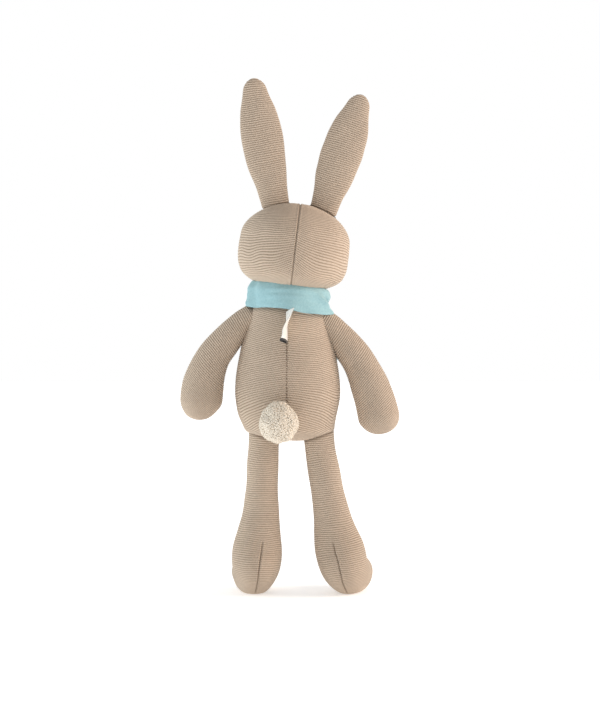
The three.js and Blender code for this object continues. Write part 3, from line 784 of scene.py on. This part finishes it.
# ---------------------------------------------------------------- ears
EAR_OUTLINE = [
    [0, 10.9, 5], [0.12, 12.1, 5], [0.3, 15.2, 5], [0.45, 16.2, 4.8], [0.65, 15.4, 4.4], [0.75, 13.6, 4],
    [0.85, 10.7, 3.6], [1, 7.4, 3.2],
]
EARS = {
    "left": (np.array([10.9, BODY_Y, 304.2]), np.array([27.9, BODY_Y, 400.5]), 1.3),
    "right": (np.array([-26.6, BODY_Y, 299.6]), np.array([-56.2, BODY_Y, 387.7]), 0.5),
}


def above_head(points):
    """About how far points are above the head's surface."""
    up = (points - NECK) @ HEAD_AXIS - HEAD_STATIONS[0][0]
    aside, depth = (points - NECK) @ ACROSS_HEAD, points[..., 1] - BODY_Y
    row = through(HEAD_ROWS, np.clip(up, 0, rows_length(HEAD_ROWS)))
    share = np.clip(np.sqrt((aside / row[..., 3]) ** 2 + (depth / row[..., 4]) ** 2), 0, 1)
    return up - rows_length(HEAD_ROWS) + HEAD_CAPS[1] * (1 - np.sqrt(1 - share**2))


def make_ear(side, seed):
    """A flat stuffed leaf, sewn round its rim, with its root tucked into the head."""
    root, tip, bow = EARS[side]
    rows = []
    for share, width, depth in EAR_OUTLINE:
        place = mix(root, tip, share)
        place[0] += bow * math.sin(math.pi * share)
        rows.append([*place, width, depth])
    under = root - unit(tip - root) * 5
    rows.insert(0, [*under, 10.6, 5])

    shape = partial(stuffed, rows, (3, 8), wide_ref=(1, 0, 0))

    def relief(grid, at, angle):
        """The rim is drawn flat by its seam, and the leaf has soft dents. Its root is sewn to the
        head along a line where the two surfaces meet."""
        rim = bell(np.sin(angle), 0.1)
        root_line = bell(above_head(grid), 0.9)
        # the rim seam and the root line where the ear meets the head get seam colour and painted shade
        return 0.15 * ripple(grid, 26, seed + 3) - 0.3 * rim - 0.5 * root_line, 0.35 * rim + 0.9 * root_line

    ear = knitted(
        f"{side}_ear", shape, rows_length(rows), 130, relief, seed=seed, seams=(0, math.pi, TAU), level=True
    )
    nodes = [f"{side}_ear_{part}" for part in ("back", "front", "wadding")]
    belongs(ear, "taupe_knit", *nodes, fill=0.35)
    bends(ear)


make_ear("left", 31)
make_ear("right", 32)

# ---------------------------------------------------------------- neck
NECK_ROWS = [[*(NECK + HEAD_AXIS * height), 19.5, 18.0] for height in (-13, -6, 0, 6, 13, 20)]
neck_shape = partial(stuffed, NECK_ROWS, (6, 6), wide_ref=(-1, 0, 0))


def neck_relief(grid, at, angle):
    """The neck is gathered where it is sewn in."""
    return 0.35 * np.sin(14 * angle), np.zeros(at.shape)


neck = knitted("neck_sleeve", neck_shape, rows_length(NECK_ROWS), 110, neck_relief, seed=7)
belongs(neck, "taupe_knit", "neck_stuffing", fill=0.7)
bends(neck)


# ---------------------------------------------------------------- face
def make_eye(name, side):
    """A domed safety eye: an arc turned about the way out of the head, on a thin flat rim."""
    seat, out = eye_seat(side)
    across = unit(np.cross(out, HEAD_AXIS))
    up = np.cross(across, out)
    rise = np.linspace(0, math.pi / 2 - 0.06, 16)
    radius = np.concatenate([[EYE["dome"] - 0.5, EYE["dome"]], EYE["dome"] * np.cos(rise) ** 0.9])
    level = np.concatenate([[-1.6, -1.5], -0.9 + (EYE["rise"] + 0.9) * np.sin(rise)])
    turn = np.linspace(0, TAU, 48, endpoint=False)
    ring = np.cos(turn)[:, None] * across + np.sin(turn)[:, None] * up
    grid = seat + radius[:, None, None] * ring[None] + (level[:, None] * out)[:, None]
    eye = surface(name + "_dome", grid, plain_uv(grid), EYE_BLACK)
    belongs(eye, "eye_plastic", name, body="head")


make_eye("left_eye", 1)
make_eye("right_eye", -1)


def stitch_paths(starts, ends, lift, dip=0.9):
    """Paths of satin stitches over the face: each is a straight stitch that bows up by the lift and dips
    into the knit at both ends. Starts and ends are pairs of aside and up."""
    share = np.linspace(0, 1, 9)
    across = mix(np.array(starts, float)[:, None], np.array(ends, float)[:, None], share[None, :, None])
    rise = lift * np.sin(math.pi * share) ** 0.35 - dip * (np.abs(2 * share - 1) > 0.99)
    return face_point(across[..., 0], across[..., 1], np.broadcast_to(rise, across.shape[:2]))


def make_nose():
    """Upright satin stitches, side by side, fill a rounded triangle."""
    aside = np.arange(-NOSE_HALF, NOSE_HALF + 0.01, 0.5)
    share = np.abs(aside) / NOSE_HALF
    top = NOSE_TOP + 0.3 * np.cos(share * math.pi / 2) - 1.1 * share**4
    low = NOSE_TIP + (NOSE_TOP - NOSE_TIP - 1.5) * share**1.5
    paths = stitch_paths(np.stack([aside, top], 1), np.stack([aside * 0.9, low], 1), 0.9)
    nose = strands("nose_satin_stitches", paths, 0.33, FLOSS)
    belongs(nose, "embroidery", "nose", body="head")


def make_mouth():
    """One straight stitch down from the nose, and a curve of short back stitches to either side."""
    starts, ends = [[0, 27.2], [0.25, 24.6]], [[0, 24.9], [0, 22.4]]
    corner = np.linspace(0, 1, 6)
    curve = np.stack([5.8 * corner, 22.4 - 3.2 * np.sin(corner * math.pi * 0.62) * (1 - 0.28 * corner)], 1)
    for side in (1, -1):
        starts += (curve[:-1] * [side, 1]).tolist()
        ends += (curve[1:] * [side, 1]).tolist()
    paths = stitch_paths(starts, ends, 0.5, dip=0.45)
    mouth = strands("mouth_back_stitches", paths, 0.36, FLOSS)
    belongs(mouth, "embroidery", "mouth", body="head")


make_nose()
make_mouth()


# ---------------------------------------------------------------- sewing threads
def torso_back_point(x, z, lift):
    """The point of the torso's back at x and z, lifted off it."""
    row = through(TORSO_ROWS, z - TORSO_ROWS[0][2])
    full = np.sqrt(1 - np.clip(1 - (z - TORSO_ROWS[0][2]) / TORSO_CAPS[0], 0, 1) ** 2)
    share = np.clip(1 - ((x - row[..., 0]) / (row[..., 3] * full)) ** 2, 0, 1)
    return np.stack([x, BODY_Y + row[..., 4] * full * np.sqrt(share) + lift, z], -1)


def make_back_stitches():
    """Slanting ladder stitches close the back seam, 2.4 mm apart."""
    z = np.arange(150.0, 226.0, 2.4)
    share = np.linspace(-1, 1, 7)
    x = BACK_SEAM_X + share[None] * 0.4 + 0 * z[:, None]
    height = z[:, None] + share[None] * 0.6
    lift = -0.5 + 0.45 * (1 - share[None] ** 2) + 0 * z[:, None]
    paths = torso_back_point(x, height, lift)
    stitches = strands("back_seam_stitches", paths, 0.3, SEAM_THREAD)
    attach(stitches, "torso")


make_back_stitches()


def make_root_stitches(side):
    """Small whip stitches hold the ear's root to the head, all round it."""
    root, tip, _ = EARS[side]
    along = unit(tip - root)
    wide = unit(np.array([1.0, 0, 0]) - along * along[0])
    turn = np.arange(26) * TAU / 26
    rim = root + wide * (10.9 * np.cos(turn))[:, None] + BACK * (5.2 * np.sin(turn))[:, None]
    rim = rim - along * above_head(rim)[:, None] / (along @ HEAD_AXIS)
    out = unit(wide * np.cos(turn)[:, None] + BACK * np.sin(turn)[:, None])
    share = np.linspace(-1, 1, 7)[None, :, None]
    paths = (
        rim[:, None] + along * share * 0.9 + out[:, None] * (0.15 - 0.3 * share - 0.5 * share**4)
        + np.cross(out, along)[:, None] * share * 0.35
    )
    stitches = strands(f"{side}_ear_root_stitches", paths, 0.22, SEAM_THREAD)
    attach(stitches, "head")


make_root_stitches("left")
make_root_stitches("right")


# ---------------------------------------------------------------- tail
TAIL_SHIFT = np.array([-0.6, 0, -2.7])  # from the CAD ball to where the yarn hangs
TUFTS, LOOSE_FIBRES = 2300, 1500


def make_tail():
    """A pompom: cut yarn ends stand out all round a padded core, a little unevenly, with a few loose
    fibres beyond them. Their directions are spread by turning by the golden angle."""
    centre = middle("tail_pompom") + TAIL_SHIFT
    half = size("tail_pompom") / 2 * [0.97, 0.97, 0.94]
    draw = np.random.default_rng(41)

    def ways(count, jitter):
        """Directions evenly spread over a ball, each turned a little at random."""
        level = 1 - 2 * (np.arange(count) + 0.5) / count
        turn = np.arange(count) * math.pi * (3 - math.sqrt(5))
        flat = np.sqrt(1 - level**2)
        way = np.stack([flat * np.cos(turn), flat * np.sin(turn), level], 1)
        return unit(way + draw.normal(size=way.shape) * jitter)

    def reach(way):
        """How far the yarn reaches: a ball with soft lumps and a slightly narrower top."""
        from_top = np.arccos(np.clip(way @ unit(np.array([0.1, 0.1, 1.0])), -1, 1))
        egg = 0.045 * bell(from_top, 0.5) - 0.045 * bell(from_top - 0.9, 0.45)
        return 1 + 0.03 * ripple(way * 10, 9, 43) + egg

    way = ways(TUFTS, 0.03)
    far = reach(way) * draw.uniform(0.982, 1.0, len(way))
    share = np.array([0.62, 0.8, 0.9, 0.96, 0.99, 1.0])
    drift = unit(np.cross(way, draw.normal(size=way.shape)))
    bow = draw.uniform(0.0, 0.07, len(way))[:, None, None] * (share[None, :, None] - 0.62) ** 2 * 5
    paths = centre + half * (way[:, None] * (far[:, None] * share)[..., None] + drift[:, None] * bow)
    thick = np.array([0.4, 0.55, 0.68, 0.76, 0.7, 0.38])
    radii = thick * draw.uniform(0.85, 1.15, len(way))[:, None]
    tufts = strands("tail_yarn_ends", paths, radii, CREAM_YARN, sides=7)
    way = ways(LOOSE_FIBRES, 0.2)
    share = np.array([0.9, 0.97, 1.0])
    far = reach(way) * draw.uniform(0.98, 1.05, len(way))
    drift = unit(np.cross(way, draw.normal(size=way.shape))) * draw.uniform(0, 0.06, len(way))[:, None]
    bow = (share - 0.9)[None, :, None] ** 2 * 100
    paths = centre + half * (way[:, None] * (far[:, None] * share)[..., None] + drift[:, None] * bow)
    hairs = strands("tail_loose_fibres", paths, 0.07, CREAM_YARN, sides=3)
    ball = globe(28, 48, 0.03)
    core = centre + half * ball * (0.935 * reach(ball) + 0.012 * ripple(ball * 10, 2, 44))[..., None]
    core = surface("tail_padded_core", core, plain_uv(core), CREAM_YARN)
    belongs(tufts, "cream_yarn", "tail_pompom", body="tail")
    belongs(hairs, "cream_yarn", body="tail")
    belongs(core, "cream_yarn", body="tail", fill=0.7)


make_tail()


# ---------------------------------------------------------------- care label
def make_label():
    """A satin ribbon folded in half with both ends in the back seam. Its fold stands out from the back
    and turns from the toy's right at the top to its left at the foot. Its foot is coloured as a plain
    dark bar, without any lettering."""
    pin = joint_place("label_turn")
    tall, depth, tucked, half_gap = 24.5, 17.0, 1.2, 0.35
    lean = math.atan2(JOINTS["label_turn"]["axis"][1], JOINTS["label_turn"]["axis"][2])
    up = np.array([0, math.sin(lean), math.cos(lean)])
    out = np.array([0, math.cos(lean), -math.sin(lean)])
    share = np.linspace(0, 1, 61)[None]
    height = np.linspace(0, 1, 41)[:, None]
    away = 1 - np.abs(2 * share - 1)
    side = np.tanh((2 * share - 1) * 9)
    reach = -tucked + (depth + tucked) * (1 - np.sqrt((1 - away) ** 2 + 0.0009) + 0.03)
    gape = half_gap + 1.3 * (1 - height) ** 2 * np.sin(math.pi * np.clip(away, 0, 1)) ** 0.8
    turn = np.radians(mix(-17.0, 15.0, smooth(0.25, 0.8, height))) + 0.12 * np.sin(height * 7) * away
    aside = side * gape - 0.7 * np.sin(math.pi * height) * away**2
    x = aside * np.cos(turn) - reach * np.sin(turn)
    y = reach * np.cos(turn) + aside * np.sin(turn)
    grid = pin + x[..., None] * [1, 0, 0] + y[..., None] * out + (height * tall + 0 * x)[..., None] * up
    label = surface("care_label_ribbon", grid, plain_uv(grid, False), SATIN, around=False, ends=False)
    thicken(label, 0.25)
    belongs(label, "label_satin", "care_label", body="label")


make_label()

# ---------------------------------------------------------------- scarf
SCARF_MIDDLE = np.array([0.7, -7.0, 229.5])
SCARF_HALF = (29.6, 26.4)
SCARF_TALL = 20.5  # of the strip once it is folded
SCARF_ROLL = math.tan(math.radians(6.5))
SCARF_PITCH = math.tan(math.radians(5.0))


def make_scarf_band():
    """A strip folded in half lengthwise and wrapped round the neck. Seen from the edge it is a hairpin
    with its fold on top. The outer leaf has long shallow creases, a diagonal fold that runs down to the
    toy's right, and a lower edge that waves and flares over the shoulders."""
    turn = (np.arange(340) * TAU / 340)[None]
    share = np.linspace(0, 1, 90)[:, None]
    down = np.abs(2 * share - 1)
    leaf = np.tanh((2 * share - 1) * 12)
    x, y = np.cos(turn), np.sin(turn)
    rim = np.stack(np.broadcast_arrays(x * 30, y * 27, down * 22), -1)
    crease = 0.6 * ripple(rim * [1, 1, 1.2], 34, 51) + 0.22 * ripple(rim * [0.7, 0.7, 2.0], 16, 52)

    def near(place, width):
        """A bell round the band, at a place that may shift on the way down."""
        return bell((turn - place + math.pi) % TAU - math.pi, width)

    diagonal = 2.1 + 1.0 * down
    right_fold = (3.0 * near(diagonal, 0.17) - 2.2 * near(diagonal + 0.27, 0.15)) * smooth(0.15, 0.6, down)
    left_fold = 1.3 * near(0.4 - 0.1 * down, 0.1) - 1.2 * near(0.6, 0.12) - 1.4 * near(0, 0.4) * (1 - down)
    left_flare = smooth(0.6, 0.95, down) * 2.0 * near(0.2, 0.45)
    right_side = near(3.1, 0.42) * (1.6 * bell(down - 0.05, 0.3) - 2.4 * bell(down - 0.62, 0.2))
    right_flare = 2.6 * smooth(0.72, 1.0, down) * near(2.95, 0.4)
    flare = left_flare + right_flare + smooth(0.6, 1, down) * 0.6 * np.sin(turn * 5 + 1)
    tuck = -1.0 * smooth(0.3, 0, down)
    out = np.where(leaf > 0, crease + right_fold + left_fold, 0.4 * crease) + flare + right_side + tuck
    radius = 1.15 * leaf + out + 0.9 * np.sin(math.pi * down) ** 0.8
    top = SCARF_TALL / 2 + 0.25 * np.sin(turn * 3 + 0.6) + 0.12 * np.sin(turn * 7)
    waves = 0.7 * np.sin(turn * 4 + 2.2) + 0.2 * np.sin(turn * 9)
    foot = -SCARF_TALL / 2 - 1.2 * bell(turn - 1.75, 0.7) + waves
    edge = np.sqrt(down**2 + 0.0012) - 0.0346
    level = mix(top, foot + 0.9 * (leaf < 0), edge)
    px = (SCARF_HALF[0] + radius) * x
    py = (SCARF_HALF[1] + radius) * y
    grid = SCARF_MIDDLE + np.stack([px, py, level + px * SCARF_ROLL + py * SCARF_PITCH], -1)
    uv = np.stack(np.broadcast_arrays(np.linspace(0, 176, 341)[None], share * 2 * SCARF_TALL), -1)
    band = surface("scarf_band_cloth", grid, uv, SCARF_CLOTH, ends=False)
    thicken(band, 0.5)
    belongs(band, "blue_cloth", "scarf_band", body="scarf")


def make_scarf_knot():
    """A soft flattened ball with creases that run round it, where one end wraps over the other."""
    centre, half = middle("scarf_knot"), size("scarf_knot") / 2
    ball = globe(90, 140, 0.04)[..., [2, 0, 1]]
    wrap = np.abs(ball[..., 0] + 0.25 * ball[..., 2])
    fold = 0.06 * np.sin(7 * ball[..., 0] + 3 * ball[..., 2]) + 0.035 * ripple(ball * 10, 7, 61)
    pinch = -0.16 * bell(wrap - 0.62, 0.1) + 0.06 * (1 - smooth(0.45, 0.62, wrap))
    grid = centre + half * ball * (0.98 + fold + pinch)[..., None]
    knot = surface("scarf_knot_cloth", grid, plain_uv(grid), SCARF_CLOTH)
    belongs(knot, "blue_cloth", "scarf_knot", body="scarf", fill=0.5)


def make_scarf_end(body, side, seed):
    """A tied end: pleats gathered at the knot open out to a slanted, slightly wavy hem."""
    spread = math.radians(34)
    top = joint_place(f"{body}_lift")
    down = np.array([side * math.sin(spread), 0, -math.cos(spread)])
    wide = np.array([side * math.cos(spread), 0, math.sin(spread)])
    across = np.linspace(-1, 1, 81)[None]
    share = np.linspace(0, 1, 61)[:, None]
    length = 43.5 - 2.6 * across + 0.5 * np.sin(across * 6 + seed)
    half = mix(4.6, 10.3, smooth(0, 0.85, share))
    shift = mix(0, 4.0, share)
    gathers = 1.5 * np.cos(across * math.pi * 2.5) * (1 - smooth(0, 0.9, share))
    pleat = gathers + 0.9 * np.sin(across * 3.4 + share * 2 + seed) * share
    place = (
        top + down * (share * length - 4.5)[..., None] + wide * (half * across + shift)[..., None]
        - BACK * (pleat + 0.4)[..., None]
    )
    end = surface(f"{body}_end_cloth", place, plain_uv(place, False), SCARF_CLOTH, around=False, ends=False)
    thicken(end, 1.0)
    belongs(end, "blue_cloth", f"{body}_end", body=body)


make_scarf_band()
make_scarf_knot()
make_scarf_end("scarf_left", 1, 1)
make_scarf_end("scarf_right", -1, 2)

# ---------------------------------------------------------------- inner pieces kept from the CAD
for name, finish in (
    ("left_eye_washer", WASHER_WHITE), ("right_eye_washer", WASHER_WHITE), ("tail_binding_thread", TIE),
):
    for held in frame["nodes"][name].material_slots:
        held.material = finish

# ---------------------------------------------------------------- stage
scene = bpy.context.scene
scene.view_settings.view_transform = "Standard"

floor_points = [[-4000, -4000, 0], [4000, -4000, 0], [4000, 4000, 0], [-4000, 4000, 0]]
paper, add, shader = material_of("matt_white_paper", Roughness=0.9, Emission_Color=(1, 1, 1, 1))
place = add("TexCoord", out="Object")
mottle = add("TexNoise", place, named=grain(267))
colour = add("Mix", mottle, out=2, named={6: srgb("#f4f4f4"), 7: srgb("#fafafa")}, data_type="RGBA")
# the sheet glows with painted light, more and more away from the toy, so that it fades to white
far = add("VectorMath", place, out="Value", operation="LENGTH")
connect(shader, Base_Color=colour, Emission_Strength=add("MapRange", far, 0.15, 0.9, 0.42, 0.8))
floor = piece("floor", floor_points, [[0, 1, 2, 3]], [[0, 0], [1, 0], [1, 1], [0, 1]], paper)

scene.world = bpy.data.worlds.new("white_room")
scene.world.use_nodes = True
background = scene.world.node_tree.nodes["Background"]
background.inputs["Color"].default_value = (1, 1, 1, 1)
add = partial(node, scene.world.node_tree)
# the room is brightest in front of the toy, as a lit white wall makes it
way = add("SeparateXYZ", add("TexCoord", out="Generated"))
wall = add("MapRange", way.node.outputs[1], -1.0, 1.0, 0.72, 0.43)
# what the camera sees straight behind the toy is plain white
connect(background, Strength=add("Mix", add("LightPath", out="Is Camera Ray"), named={2: wall, 3: 1.0}))


def softbox(name, place, target, width, power, colour):
    """A square area light that faces a point."""
    light = bpy.data.lights.new(name, "AREA")
    light.size = width * MM
    light.energy = power
    light.color = srgb(colour)[:3]
    obj = bpy.data.objects.new(name, light)
    scene.collection.objects.link(obj)
    obj.visible_camera = False
    obj.location = Vector(place) * MM
    obj.rotation_mode = "QUATERNION"
    away = Vector(target) * MM - obj.location
    obj.rotation_quaternion = away.to_track_quat("-Z", "Y")


softbox("key", (-1700, 200, 900), (0, 0, 200), 900, 22, "#ffeadb")
softbox("low_fill", (620, 40, 160), (0, 0, 150), 300, 1.5, "#eef8fc")
